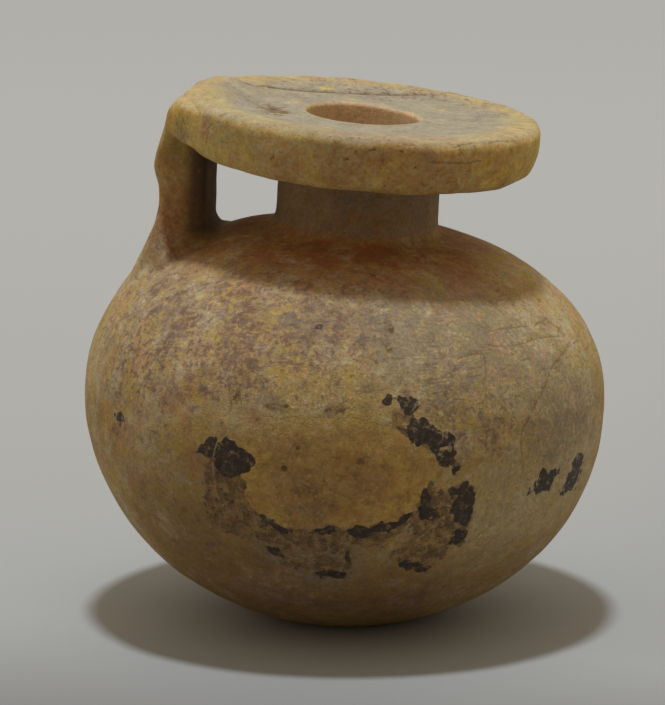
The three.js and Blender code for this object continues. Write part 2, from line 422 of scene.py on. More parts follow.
# The unevenness of a pot made by hand. It depends on the place alone, so neighbours stay together.
def uneven(points):
    moved = points.copy()
    x, y, z = points.T
    spots = [Vector(p) for p in points]
    for size, far in flask["unevenness"]:
        moved += far * np.array([noise.noise_vector(p / size) for p in spots])
    reach = np.hypot(x, y)
    onRim = smoothStep(15, 20, reach) * smoothStep(undersideHeight - 2, undersideHeight, z)
    picked = np.nonzero(onRim)[0]
    for size, far in flask["rimUnevenness"]:
        shift = np.array([noise.noise_vector(spots[i] / size + Vector((7, 3, 5))) for i in picked])
        if len(picked):
            moved[picked] += far * onRim[picked, None] * shift
    pitch, depth = flask["turningLines"]
    onBody = smoothStep(neck["radius"] + 3, neck["radius"] + 6, reach)
    onBody = onBody * smoothStep(undersideHeight - 3, undersideHeight - 8, z)
    lines = np.array([noise.noise(Vector((0.03 * p.x, 0.03 * p.y, p.z / pitch))) for p in spots])
    middle, front = flask["mouthLift"]
    onTop = smoothStep(undersideHeight + 1.5, discTop - 1.2, z)
    moved[:, 2] += onTop * (middle - front * y / disc["radius"])
    swell = flask["swell"]
    off = np.hypot(x - swell["at"][0], y - swell["at"][1])
    low = smoothStep(seatHeight - 9, seatHeight - 4, z) * smoothStep(seatHeight + 4, seatHeight + 1.5, z)
    moved[:, 2] += swell["lift"] * low * smoothStep(swell["wide"], 0, off)
    return moved - points * (onBody * depth * (1 + lines) / body["radius"])[:, None]


def standUp(points):
    return points @ leanTurn.T + np.array([0, 0, flask["stand"]])


def toFlask(points):
    return (points - np.array([0, 0, flask["stand"]])) @ leanTurn


# Nothing leaves the CAD box, and the base is worn flat on the floor
def heldIn(points):
    low, high = np.array(cadLow) / mm, np.array(cadHigh) / mm
    soft = flask["softSide"]
    for k, way, edge in ((0, 1, high), (1, 1, high), (2, 1, high), (0, -1, low), (1, -1, low)):
        held = way * edge[k] - soft
        over = way * points[:, k] - held
        points[:, k] = np.where(over > 0, way * (held + soft * np.tanh(over / soft)), points[:, k])
    soft = flask["softFloor"]
    under = np.minimum(points[:, 2] - soft, 0)
    points[:, 2] = np.where(under < 0, soft * np.exp(under / soft), points[:, 2])
    return points


def finishShape(piece):
    setPoints(piece, heldIn(standUp(uneven(pointsOf(piece)))))
    pick(piece)
    bpy.ops.object.shade_smooth_by_angle(angle=math.radians(38))


vesselBody = makeBody()
neckTube = makeNeck()
neckFoot = makeNeckFoot()
neckHead = makeNeckHead()
mouthDisc = makeDisc()
for piece in (neckTube, neckHead, mouthDisc):
    tilt(piece)
print("turned pieces made", [len(p.data.polygons) for p in (vesselBody, neckTube, mouthDisc)])


# Strap handle: pulled clay, set on the shoulder, drawn up the outside of the disc's rim and folded over
# its top. Its side view is given as (radius, height).
strap = {
    "halfWidth": 6.5,
    "round": 1.0,
    "outerFace": [
        (24.3, 13.0), (24.3, 16.4), (23.9, 18.05), (23.2, 20.4), (22.8, 22.8), (22.95, 24.8), (23.65, 27.0),
        (23.4, 29.2), (22.9, 31.3), (22.55, 32.7), (22.2, 33.75), (21.7, 34.65), (20.95, 35.3),
        (19.75, 36.05), (18.4, 36.4), (16.8, 36.35), (15.3, 36.0),
    ],
    "tip": (14.7, 34.5),
    "inner": 17.65,
    "root": 14.0,
    "intoDisc": 31.5,
    "narrowing": 0.26,  # the shaft's inner face is narrower than its outer one by this share
    "voxel": 0.24,
    "smoothings": 13,
    "headSmoothings": 24,
}

# Clay wiped round the strap's foot, and drawn out over the shoulder like a tongue
strapFoot = {
    "reach": 2.6,
    "frontReach": 1.5,
    "rise": 2.7,
    "tongueFrom": 23.0,
    "tongueTo": 30.0,
    "tongueHeight": 2.9,
    "tongueWidths": (5.0, 9.5),  # full height out to the first, gone at the second
    "splay": [  # widens the foot, to each side
        (-23.1, 6.1, 20.6), (-21.0, 7.2, 15.2), (-22.2, 8.2, 14.4), (-25.6, 7.2, 12.5), (-26.2, 4.5, 13.3),
        (-22.6, 4.5, 20.0), (-20.5, 5.0, 16.0),
    ],
    "fin": [  # the ridge along the front of the foot, its outer side and its inner side
        (-22.75, -6.45, 21.3), (-22.15, -7.15, 18.3), (-21.4, -8.0, 16.5), (-20.95, -9.0, 15.1),
        (-24.4, -6.5, 15.7), (-25.5, -6.0, 14.2), (-23.0, -5.0, 20.6),
        (-20.9, -6.2, 18.0), (-20.4, -6.7, 15.6), (-21.6, -5.5, 20.6),
    ],
    "top": 19.9,  # the seam ends here, up the strap
}

# Clay wiped into the corners between the strap's sides and the rim, and over the disc's top
strapHead = {
    "corner": [  # its height is from the disc's top, as the edge's is
        (-16.6, 13.0, -0.9), (-16.4, 13.0, -4.9), (-19.9, 9.9, -0.45), (-20.0, 10.0, -1.4),
        (-19.5, 9.7, -4.9), (-22.3, 6.9, -1.7), (-21.3, 6.9, -0.3), (-22.4, 6.8, -3.9),
        (-17.0, 5.0, -0.2), (-17.0, 5.0, -4.5),
    ],
    "edge": [  # runs the corner's clay out down the strap's outer edge
        (-22.4, 6.8, -1.7), (-22.5, 6.75, -3.9), (-21.0, 6.9, -4.6), (-23.4, 6.4, -8.6),
        (-22.2, 6.45, -7.4), (-20.5, 5.0, -3.0), (-21.5, 5.0, -7.5),
    ],
    "coverFrom": 14.4,
    "coverHeight": 0.6,
    "coverSpread": 4.6,
    "bottom": 28.6,  # the corners' clay starts at this height
    "side": 6.24,
}
patch = {
    "sink": 0.12,
    "cut": 0.06,
    "steps": 200,
    "row": 0.9,
    "grid": 0.4,
    "thick": 1.6,
    "nearBody": (13.5, 11.5, 6, 25),  # from the axis, to each side, up from and up to
    "nearDisc": (11.5, 13.8, 20, 40),
    "footSheet": ((-30.2, -10.5), (-14.2, 10.5), 30.2),  # two corners, and the circle it stays in
    "coverSheet": ((-20.6, -10.2), (-11.8, 10.2), 20.6),
    "clearFrom": (-40, -20, 0),  # corners of a box round all the strap's clay
    "clearTo": (-10, 20, 45),
}


# The body or the disc as a plain solid, grown or shrunk
def bodyBlank(grow):
    radius = body["radius"] + grow
    outline = belowOutline(radius, body["below"] + grow)
    outline += aboveOutline(radius, body["above"] + grow, 0.001)[1:]
    outline = evenly(outline, patch["row"])
    outline[0], outline[-1] = (0, outline[0][1]), (0, outline[-1][1])
    return turned("bodyBlank", outline, patch["steps"])


def discBlank(grow):
    cheek, corner = discSide(grow)
    top = [(r, grow + dishHeight(r)) for r in np.linspace(corner[-1][0], 0, 24)]
    outline = [(0, cheek[0][1])] + evenly(cheek, patch["row"] / 2) + evenly(corner, patch["row"] / 3)[1:]
    outline = [(r, discTop + z) for r, z in outline + top[1:]]
    blank = turned("discBlank", outline, patch["steps"])
    tilt(blank)
    return blank


# Keeps the side of a piece that a plane's normal points away from, and closes the cut
def sliceOff(piece, place, normal):
    pick(piece)
    editMode()
    selectAll()
    bpy.ops.mesh.bisect(
        plane_co=Vector(place) * mm, plane_no=normal, use_fill=True, clear_outer=True, clear_inner=False)
    editMode(False)


# What is left of a plain solid between these distances from the axis, to each side, and up and down
def nearStrap(piece, inner, side, low, high):
    sliceOff(piece, (-inner, 0, 0), (1, 0, 0))
    for way in (1, -1):
        sliceOff(piece, (0, way * side, 0), (0, way, 0))
    for height, way in ((low, -1), (high, 1)):
        sliceOff(piece, (0, 0, height), (0, 0, way))
    return piece


def makeStrapBlank():
    face = [(-r, z) for r, z in strap["outerFace"]]
    inner = [(-strap["tip"][0], strap["tip"][1]), (-strap["inner"], strap["intoDisc"])]
    inner += [(-strap["inner"], strap["root"])]
    blank = drawOutline("strapBlank", evenly(face, 0.8) + inner + face[:1])
    selectAll()
    bpy.ops.mesh.remove_doubles(threshold=0.01 * mm)
    bpy.ops.mesh.edge_face_add()
    bpy.ops.transform.translate(value=(0, -strap["halfWidth"] * mm, 0))
    across = (0, 2 * strap["halfWidth"] * mm, 0)
    bpy.ops.mesh.extrude_region_move(TRANSFORM_OT_translate={"value": across})
    faceOut()
    editMode()
    selectNone("EDGE")
    places = pointsOf(blank)
    for edge in blank.data.edges:
        a, b = (places[i] for i in edge.vertices)
        edge.select = bool(abs(a[1] - b[1]) < 0.1)
    editMode()
    bpy.ops.mesh.bevel(offset=strap["round"] * mm, segments=3, affect="EDGES", clamp_overlap=True)
    editMode(False)
    return blank


# A sheet of clay lying on a surface: a grid whose heights come from a function of its place, and whose
# corners are drawn in to a circle
def claySheet(name, low, high, within, heightAt):
    wide, deep = high[0] - low[0], high[1] - low[1]
    deselectAll()
    bpy.ops.mesh.primitive_grid_add(
        x_subdivisions=round(wide / patch["grid"]), y_subdivisions=round(deep / patch["grid"]), size=mm,
        location=(0, 0, 0))
    sheet = bpy.context.object
    sheet.name = sheet.data.name = name
    places = pointsOf(sheet)
    places[:, 0] = low[0] + (places[:, 0] + 0.5) * wide
    places[:, 1] = low[1] + (places[:, 1] + 0.5) * deep
    reach = np.hypot(places[:, 0], places[:, 1])
    places[:, :2] *= np.minimum(1, within / reach)[:, None]
    places[:, 2] = heightAt(places[:, 0], places[:, 1])
    setPoints(sheet, places)
    editMode()
    selectAll()
    bpy.ops.mesh.normals_make_consistent(inside=False)
    bpy.ops.mesh.extrude_region_move(TRANSFORM_OT_translate={"value": (0, 0, -patch["thick"] * mm)})
    faceOut()
    return sheet


def footHeight(x, y):
    reach, rise = strapFoot["reach"], strapFoot["rise"]
    outer = strap["outerFace"][2][0] - 0.8
    aside = np.maximum(np.abs(y) - strap["halfWidth"] + 0.3, 0)
    beyond = np.maximum(np.maximum(strap["inner"] + x, -x - outer), 0)
    inFront = smoothStep(-5, -6, y) * smoothStep(-22.5, -21, x)
    reach = reach + (strapFoot["frontReach"] - reach) * inFront
    near = 1 - np.clip(np.hypot(aside, beyond) / reach, 0, 1)
    fillet = rise * reach / strapFoot["reach"] * (1 - np.sqrt(1 - near ** 2))
    tongueFrom, tongueTo = strapFoot["tongueFrom"], strapFoot["tongueTo"]
    along = np.clip((-x - tongueFrom) / (tongueTo - tongueFrom), 0, 1)
    across = smoothStep(strapFoot["tongueWidths"][1], strapFoot["tongueWidths"][0], np.abs(y))
    tongue = strapFoot["tongueHeight"] * (1 - along) ** 1.5 * across
    tongue = tongue * smoothStep(tongueFrom - 1.5, tongueFrom + 0.3, -x)
    reachOut = np.minimum(np.hypot(x, y), body["radius"] - 0.02)
    return shoulderHeight(reachOut) - patch["sink"] + np.maximum(fillet, tongue)


def coverHeight(x, y):
    aside = np.maximum(np.abs(y) - strap["halfWidth"] + 1.2, 0)
    beyond = np.maximum(strapHead["coverFrom"] + 1.0 + x, 0)
    off = np.clip(np.hypot(aside, beyond) / strapHead["coverSpread"], 0, 1)
    cover = strapHead["coverHeight"] * smoothStep(1, 0, off)
    reach = np.hypot(x, y)
    inside = smoothStep(disc["radius"] - 0.2, disc["radius"] - 1.6, reach)
    lift = -x * math.tan(math.radians(disc["tilt"])) + y * math.tan(math.radians(disc["nod"]))
    return discTop + lift + dishHeight(reach) - patch["sink"] + cover * inside - 1.5 * (1 - inside)


# A lump of clay: the smallest closed form round a few points, here or mirrored to the other side
def lump(points, side=1, height=0.0):
    made = drawOutline("lump", [(0, k) for k in range(len(points))])
    editMode(False)
    setPoints(made, np.array(points) * (1, side, 1) + (0, 0, height))
    editMode()
    selectAll()
    bpy.ops.mesh.convex_hull()
    faceOut()
    return made


clearOf = 2.5  # mm, past this a point is simply away from a mark


# Distance across the nearest of several lines on the clay, with its sign, and without
def fromLines(points, normals, lines):
    signed = np.full(len(points), clearOf)
    reach = np.full(len(points), clearOf)
    for line in lines:
        low, high = np.min(line, axis=0) - clearOf, np.max(line, axis=0) + clearOf
        near = np.nonzero(((points > low) & (points < high)).all(axis=1))[0]
        for a, b in zip(line, line[1:]):
            along = b - a
            t = np.clip((points[near] - a) @ along / (along @ along), 0, 1)
            off = points[near] - a - t[:, None] * along
            far = np.linalg.norm(off, axis=1)
            side = np.sign(np.einsum("ij,ij->i", np.cross(along, normals[near]), off))
            closer = far < reach[near]
            signed[near] = np.where(closer, side * far, signed[near])
            reach[near] = np.where(closer, far, reach[near])
    return signed, reach


# The shaft's front and back fall away towards its inner face
def narrowed(points):
    face = np.array(strap["outerFace"])
    out, height = -points[:, 0], points[:, 2]
    outer = np.interp(height, face[:10, 1], face[:10, 0])
    inward = 1 - np.clip((out - strap["inner"]) / (outer - strap["inner"]), 0, 1)
    shaft = smoothStep(15, 17.5, height) * smoothStep(31.5, 28.5, height)
    shaft = shaft * (out > strap["inner"] - 1) * (np.abs(points[:, 1]) < strap["halfWidth"] + 1.5)
    points[:, 1] *= 1 - strap["narrowing"] * shaft * inward ** 2
    return points


# Smooths a piece, more where its share is higher
def rubDown(piece, shares, times):
    group = piece.vertex_groups.new(name="rubbed")
    for k, share in enumerate(shares):
        group.add([k], float(share), "REPLACE")
    modified(piece, "SMOOTH", factor=0.5, iterations=times, vertex_group=group.name)
    piece.vertex_groups.clear()


def makeStrap():
    bodyPatch = nearStrap(bodyBlank(-patch["sink"]), *patch["nearBody"])
    discPatch = nearStrap(discBlank(-patch["sink"]), *patch["nearDisc"])
    foot = claySheet("footSheet", *patch["footSheet"], footHeight)
    cover = claySheet("coverSheet", *patch["coverSheet"], coverHeight)
    lumps = [lump(strapHead[name], side, discTop) for side in (-1, 1) for name in ("corner", "edge")]
    for made in lumps:
        tilt(made)
    lumps += [lump(strapFoot["splay"], side) for side in (-1, 1)] + [lump(strapFoot["fin"])]
    parts = [makeStrapBlank(), bodyPatch, discPatch, foot, cover] + lumps
    deselectAll()
    for part in parts:
        part.select_set(True)
    bpy.context.view_layer.objects.active = parts[0]
    bpy.ops.object.join()
    joined = bpy.context.object
    joined.name = joined.data.name = "pulledStrap"
    modified(joined, "REMESH", mode="VOXEL", voxel_size=strap["voxel"] * mm)
    setPoints(joined, narrowed(pointsOf(joined)))
    points, ridge = pointsOf(joined), [np.array(strapFoot["fin"][:4], float)]
    offRidge = fromLines(points, normalsOf(joined), ridge)[1]
    rubDown(joined, 0.25 + 0.75 * smoothStep(0.5, 1.6, offRidge), strap["smoothings"])
    rubDown(joined, smoothStep(28, 32, points[:, 2]), strap["headSmoothings"])
    for cutter in (bodyBlank(-patch["cut"]), discBlank(-patch["cut"])):
        cutWith(joined, cutter, "DIFFERENCE")
        discard(cutter)
    return joined


def block(low, high):
    deselectAll()
    middle, size = (np.array(low) + high) / 2, np.array(high) - low
    bpy.ops.mesh.primitive_cube_add(size=1, location=middle * mm)
    made = bpy.context.object
    made.scale = Vector(size * mm)
    bpy.ops.object.transform_apply(location=True, rotation=True, scale=True)
    return made


strapHandle = makeStrap()
print("strap joined", len(strapHandle.data.polygons))


# The joined clay is parted where the potter put one lump on another
def partStrap():
    side, bottom = strapHead["side"], strapHead["bottom"]
    (left, front, floor), (right, back, top) = patch["clearFrom"], patch["clearTo"]
    blocks = {
        "strapFootClay": block((left, front, floor), (right, back, strapFoot["top"])),
        "strapHeadClayFront": block((left, front, bottom), (right, -side, top)),
        "strapHeadClayBack": block((left, side, bottom), (right, back, top)),
    }
    made = []
    for name, cutter in blocks.items():
        part = copyOf(strapHandle, name)
        cutWith(part, cutter, "INTERSECT")
        cutWith(strapHandle, cutter, "DIFFERENCE")
        discard(cutter)
        made.append(part)
    return made


strapFootSeam, strapHeadFront, strapHeadBack = partStrap()
pieces = [
    vesselBody, neckTube, neckFoot, neckHead, mouthDisc, strapHandle, strapFootSeam, strapHeadFront,
    strapHeadBack,
]
for piece in pieces:
    finishShape(piece)
print("pieces shaped", {p.name: len(p.data.polygons) for p in pieces})


# Marks that the photograph shows, by the pixels where they lie. A pixel's ray is followed to the clay.
marks = {
    "pits": [  # pixel, radius, depth
        (284, 469, 0.5, 0.34), (298, 448, 0.4, 0.14), (361, 462, 0.62, 0.14), (347, 469, 0.36, 0.1),
        (324, 481, 0.32, 0.12), (373, 275, 0.4, 0.2), (121, 415, 0.45, 0.1),
    ],
    "groove": [
        (246, 82.5), (270, 86.5), (290, 89), (315, 91), (340, 92.2), (370, 93.4), (400, 94.2), (424, 93.4),
    ],
    "cracks": [
        [(572, 339), (569, 345), (560, 357), (552, 367), (547, 380), (543, 391), (535, 405), (528, 420),
         (522, 430), (521, 442), (522, 454)],
        [(543, 315), (550, 323), (559, 329), (570, 341)],
        [(480, 326), (490, 331), (500, 329), (515, 327), (533, 326), (543, 321)],
        [(488, 345), (507, 346), (524, 343), (538, 338), (559, 336), (569, 337)],
        [(451, 362), (462, 357), (472, 354), (483, 352), (485, 362), (486, 372), (484, 381)],
        [(226, 387), (229, 395), (231, 404)],
        [(236, 388), (240, 396), (241, 403)],
        [(206, 143), (208, 134), (207, 128), (211, 124)],
        [(396, 146), (404, 145), (414, 145)],
        [(432, 162), (448, 163), (466, 163), (480, 161)],
        [(454, 147), (466, 144), (480, 142)],
        [(490, 143), (502, 141), (514, 141)],
    ],
    "scratches": [
        [(217, 441), (216, 447), (213, 458), (213, 470), (215, 482), (216, 492), (219, 500)],
        [(417, 402), (415, 406), (413, 410)],
        [(443, 431), (443, 439)],
        [(447, 430), (447, 437)],
        [(441, 519), (433, 526), (425, 534)],
        [(396, 538), (404, 533), (413, 528)],
        [(284, 500), (292, 503)],
        [(299, 503), (304, 507)],
    ],
    "paint": [
        [(196, 453), (202, 445), (209, 436), (213.5, 437), (217, 443), (220, 443), (226, 436), (235, 444),
         (246, 450), (255.5, 460), (253, 467), (245, 472.5), (232, 476), (223, 475), (216, 470), (215, 459),
         (205, 457)],
        [(382, 401), (387, 394), (392, 394), (392, 405), (386, 406)],
        [(396, 398), (412, 396), (418, 405), (413.5, 412.5), (405, 415.5), (402, 408)],
        [(410, 420), (423.5, 417), (433, 425), (437, 433), (450.5, 430), (455, 438), (454, 452), (457, 465),
         (447, 468), (438, 462.5), (435, 451), (426, 444), (418, 445.5), (408, 438), (406, 431)],
        [(448, 468), (460, 467), (462, 471), (453, 473)],
        [(447, 490), (457.5, 489), (464, 482), (470.5, 486), (474.5, 495), (474, 508), (470, 520),
         (463, 526), (456, 521), (450, 509), (455, 500), (461, 493), (450, 496)],
        [(421, 495), (425, 488), (429, 494), (430, 506), (438, 512), (434, 522), (422, 519), (418, 510)],
        [(345, 530), (355, 526), (369, 528), (378, 523), (389, 524), (398, 521), (404, 516), (412, 511.5),
         (407, 519), (396, 527), (388, 532), (376, 532), (363, 539), (350, 535)],
        [(256, 514), (266, 516), (280, 528), (294, 530), (280, 533), (268, 525)],
        [(316, 530), (330, 526), (334, 530), (322, 535)],
        [(456, 530), (467, 531), (463, 541), (450, 545)],
        [(396, 561), (412, 563), (431, 568), (426, 571), (405, 570)],
        [(268, 547), (279, 549), (284, 555), (274, 556)],
        [(316, 573), (330, 570), (346, 573), (343, 578), (322, 577)],
        [(346, 552), (351, 555), (349, 563), (345, 559)],
        [(529, 493), (538, 480), (542, 467), (547, 472), (559, 469), (552, 482), (549, 491)],
        [(560, 495), (572, 470), (577, 454), (584, 456), (580, 473), (574, 489)],
        [(315, 325), (322, 325), (321, 329), (316, 328)],
        [(116, 412), (121, 413), (123, 420), (120, 424), (117, 418)],
    ],
    "film": [
        [(205, 458), (217, 458), (240, 470), (243, 478), (250, 490), (251, 502), (256, 513), (266, 516),
         (284, 528), (315, 530), (330, 524), (350, 528), (362, 527), (382, 521), (393, 523), (404, 516),
         (417, 509), (412, 524), (396, 536), (386, 544), (366, 548), (350, 546), (353, 560), (350, 578),
         (335, 580), (306, 574), (284, 564), (268, 554), (262, 540), (236, 536), (212, 526), (203, 508),
         (206, 488), (203, 474)],
        [(389, 410), (404, 413), (416, 419), (432, 430), (436, 450), (440, 466), (428, 458), (411, 445),
         (396, 432)],
        [(420, 494), (424, 480), (432, 480), (439, 487), (450, 489), (465, 480), (475, 492), (474, 512),
         (469, 532), (462, 544), (449, 549), (446, 557), (430, 560), (431, 570), (410, 569), (389, 561),
         (392, 552), (410, 540), (402, 530), (414, 518)],
        [(261, 404), (275, 402.5), (292, 408), (288, 412), (270, 411)],
        [(322, 407), (338, 404), (349, 408), (344, 414), (326, 413)],
        [(383, 324), (392, 322), (394, 331), (388, 335)],
        [(379, 340), (390, 343), (394, 352), (386, 354)],
        [(226, 387), (236, 389), (242, 396), (241, 403), (232, 405)],
        [(347, 453), (355, 452), (361, 460), (355, 466), (348, 464)],
        [(257, 105), (272, 106), (291, 112), (281, 116), (262, 111)],
    ],
    "bare": [  # left clear inside a film
        [(441, 448), (446, 447), (452, 447), (451, 452), (445, 453), (441, 452)],
        [(290, 553), (304, 550), (322, 553), (318, 557), (300, 557)],
    ],
    "worn": [
        [(214, 426), (240, 417), (300, 417), (360, 419), (392, 427), (420, 444), (444, 462), (441, 481),
         (437, 480), (430, 478), (426, 488), (421, 494), (418, 500), (416, 508), (412, 511), (404, 517),
         (400, 521), (393, 524), (388, 522), (380, 521), (374, 523), (370, 528), (361, 527), (355, 524),
         (350, 527), (345, 528), (337, 526), (330, 523), (322, 526), (315, 528), (305, 527), (295, 526),
         (285, 528), (279, 527), (275, 522), (270, 518), (265, 514), (260, 514), (256, 510), (250, 504),
         (245, 497), (246, 490), (246, 483), (241, 473), (247, 470), (249, 465), (253, 462), (255, 459),
         (251, 456), (247, 450), (236, 443), (228, 434)],
    ],
}

# Soft zones: pixel, reach in mm, strength
zones = {
    "mauve": [
        (150, 300, 8, 0.9), (200, 320, 8, 0.8), (250, 300, 8, 0.8), (230, 360, 7, 0.65), (170, 370, 6, 0.5),
        (120, 380, 6, 0.4), (300, 340, 6, 0.8), (130, 450, 6, 0.25), (160, 490, 6, 0.35),
        (440, 385, 6, 0.7), (500, 430, 4, 0.6), (310, 500, 4, 0.9), (460, 440, 3, 0.45), (300, 600, 6, 0.7),
        (240, 590, 5, 0.6), (360, 300, 6, 0.7), (400, 600, 6, 0.6), (450, 575, 5, 0.5), (200, 545, 5, 0.5),
        (345, 335, 5, 0.6), (330, 84, 5, 0.5), (415, 91, 5, 0.4), (480, 100, 4, 0.4), (290, 95, 3, 0.3),
        (240, 92, 3, 0.3), (350, 465, 4, 0.35), (500, 300, 6, 0.35),
    ],
    "grey": [
        (440, 310, 8, 0.8), (500, 330, 8, 0.8), (540, 350, 6, 0.6), (400, 345, 5, 0.6), (380, 320, 6, 0.7),
        (560, 430, 7, 0.8), (585, 400, 6, 0.6), (165, 275, 4, 0.5), (170, 300, 5, 0.5), (300, 310, 5, 0.5),
        (470, 370, 6, 0.6), (420, 360, 5, 0.5), (550, 400, 5, 0.45), (300, 555, 5, 0.8), (340, 560, 4, 0.7),
        (270, 545, 3.5, 0.6), (330, 575, 4, 0.7), (250, 100, 2.4, 0.9), (437, 100, 1.6, 0.7),
        (487, 115, 2.6, 0.8), (515, 150, 4, 0.5), (182, 134, 2.4, 1.0), (460, 120, 2, 0.4),
        (275, 407, 1.6, 0.9), (329, 409, 1.5, 0.9), (386, 345, 1.6, 0.8), (390, 328, 1.0, 0.9),
        (355, 205, 1.4, 0.7),
    ],
    # Darker brown, mostly towards the bottom
    "soilAndShade": [
        (200, 540, 9, 0.6), (250, 570, 8, 0.7), (320, 595, 9, 0.8), (400, 590, 8, 0.6), (225, 500, 5, 0.6),
        (170, 520, 5, 0.4), (300, 560, 6, 0.5), (480, 590, 7, 0.4), (350, 490, 4, 0.3),
    ],
    "olive": [
        (280, 425, 7, 0.8), (330, 430, 7, 0.7), (240, 430, 4, 0.5), (480, 400, 6, 0.4), (540, 440, 7, 0.5),
        (500, 500, 8, 0.4), (520, 540, 6, 0.4), (450, 410, 5, 0.5), (400, 380, 5, 0.5), (350, 400, 5, 0.5),
        (560, 500, 6, 0.5), (470, 545, 5, 0.6), (300, 320, 3, 0.3), (340, 140, 6, 0.5), (240, 120, 4, 0.6),
    ],
    # Redder clay; along the shoulder under the disc and by the strap's foot it is partly painted shade
    "rustAndShade": [
        (370, 250, 8, 0.9), (320, 250, 7, 0.7), (430, 265, 6, 0.5), (280, 250, 6, 0.6), (230, 245, 5, 0.6),
        (190, 240, 4, 0.8), (115, 420, 4, 0.25), (110, 370, 4, 0.2), (130, 480, 5, 0.3),
        (254, 416, 1.2, 0.8), (470, 265, 5, 0.3), (205, 129, 1.5, 1.0), (330, 150, 4, 0.3),
        (440, 172, 6, 0.5), (500, 165, 5, 0.3), (380, 175, 6, 0.6), (290, 168, 4, 0.4),
        (351, 459, 1.2, 0.7), (338, 464, 0.8, 0.7), (180, 400, 4, 0.4), (210, 470, 3, 0.3),
        (190, 225, 4, 0.9), (200, 236, 3, 0.9), (182, 225, 5, 0.6), (195, 555, 6, 0.4), (280, 590, 5, 0.5),
        (400, 600, 5, 0.4),
    ],
    "pale": [
        (155, 250, 2.5, 0.7), (585, 430, 6, 0.6), (570, 480, 7, 0.5), (165, 262, 4, 0.6),
        (205, 285, 4, 0.4), (180, 350, 3, 0.4), (100, 350, 4, 0.5), (440, 440, 2, 0.4), (500, 520, 7, 0.5),
        (140, 435, 6, 0.4), (560, 330, 4, 0.4), (400, 362, 2, 0.6), (402, 331, 1.0, 0.7),
        (215, 110, 4, 0.7), (250, 150, 4, 0.6), (290, 160, 4, 0.4), (350, 151, 5, 0.4), (450, 148, 5, 0.4),
        (260, 404, 1.5, 0.8), (480, 520, 4, 0.4), (230, 410, 3, 0.5),
    ],
    "ochre": [  # how plainly the worn clay shows
        (290, 520, 5, 1.0), (350, 515, 5, 1.0), (410, 495, 4, 1.0), (255, 495, 4, 1.0),
        (250, 460, 2.5, 0.9), (430, 470, 3, 0.9), (330, 480, 7, 0.75), (300, 440, 4, 0.3),
        (380, 450, 5, 0.5),
    ],
    "specks": [
        (320, 145, 4, 0.8), (380, 155, 5, 0.8), (350, 178, 5, 0.7), (470, 150, 6, 0.7), (430, 180, 5, 0.6),
        (280, 165, 4, 0.5), (240, 145, 4, 0.3), (200, 280, 8, 0.5), (120, 350, 6, 0.4), (300, 290, 6, 0.4),
        (450, 300, 6, 0.4),
    ],
}


# Where the ray through a pixel of the photograph meets the clay
def onClay(across, down):
    origin, ray = Vector(shotEye * mm), Vector(rayThrough(across, down))
    met = [piece.ray_cast(origin, ray)[:2] for piece in pieces]
    place = min((place for found, place in met if found), key=lambda place: (place - origin).length)
    return np.array(place) / mm


# Distance from an outline drawn in pixels, in mm, negative inside it
def fromOutline(across, down, outline):
    reach = np.full(len(across), 1e3)
    inside = np.zeros(len(across), bool)
    corners = np.array(outline, float)
    for (ax, ay), (bx, by) in zip(corners, np.roll(corners, -1, axis=0)):
        sx, sy = bx - ax, by - ay
        t = np.clip(((across - ax) * sx + (down - ay) * sy) / (sx * sx + sy * sy), 0, 1)
        reach = np.minimum(reach, np.hypot(across - ax - t * sx, down - ay - t * sy))
        if ay != by:
            inside ^= ((ay > down) != (by > down)) & (across < ax + (down - ay) * sx / sy)
    return np.where(inside, -reach, reach) / shot["pixelsPerMm"]


# The nearest of several outlines, for the points that face the camera
def fromOutlines(points, normals, outlines):
    away = np.full(len(points), clearOf)
    seen = np.nonzero(np.einsum("ij,ij->i", normals, shotEye - points) > 0)[0]
    across, down = toPixels(points[seen])
    margin = clearOf * shot["pixelsPerMm"]
    for outline in outlines:
        low, high = np.min(outline, axis=0) - margin, np.max(outline, axis=0) + margin
        near = (across > low[0]) & (across < high[0]) & (down > low[1]) & (down < high[1])
        if near.any():
            found = fromOutline(across[near], down[near], outline)
            away[seen[near]] = np.minimum(away[seen[near]], found)
    return np.clip(away, -clearOf, clearOf)


# Finer mesh where a mark needs it
def refine(piece, chosen, cuts):
    if chosen.any():
        pick(piece)
        editMode()
        selectNone("FACE")
        piece.data.polygons.foreach_set("select", chosen)
        editMode()
        bpy.ops.mesh.subdivide(number_cuts=cuts)
        editMode(False)


def facesOf(piece):
    faces = piece.data.polygons
    return vectorsOf(faces, "center") / mm, vectorsOf(faces, "normal")


bpy.context.view_layer.update()
lines = {k: [np.array([onClay(*p) for p in line]) for line in marks[k]] for k in ("cracks", "scratches")}
groove = np.array([onClay(*p) for p in marks["groove"]])
pits = [(onClay(x, y), radius, depth) for x, y, radius, depth in marks["pits"]]
spots = {k: [(onClay(x, y), reach, strength) for x, y, reach, strength in v] for k, v in zones.items()}
print("marks found on the clay")

# Wear that the photograph doesn't show, spread over every side
wear = {
    "seed": 11,
    "pits": 90,
    "pitHeights": (-22, 17),  # from the belly's centre
    "pitRadius": (0.16, 0.42),
    "pitDepth": (0.06, 0.2),
    "dents": 26,  # round the rim
    "dentDrops": (0.3, 1.0, 3.0, 5.0),  # below the disc's top
    "dentRadius": (1.0, 2.6),
    "dentDepth": (0.05, 0.2),
    "flakes": 16,
    "flakeAngles": (10, 175),  # the photograph's own side has none of these
    "flakeHeights": (-18, 14),
    "flakeHalfHigh": (0.6, 1.8),
    "flakeHalfWide": (0.8, 3.4),
    "grooveDepth": 0.22,
    "grooveReach": 0.8,
    "crackDepth": 0.05,
    "crackReach": 0.3,
}
chance = random.Random(wear["seed"])


# A place on the belly by its angle and height, as the flask stands
def onBelly(angle, height):
    power, tall = (body["squareness"], body["above"]) if height > 0 else (2, body["below"])
    radius = body["radius"] * (1 - abs(height / tall) ** power) ** (1 / power)
    return standUp(np.array([[radius * math.cos(angle), radius * math.sin(angle), height]]))[0]


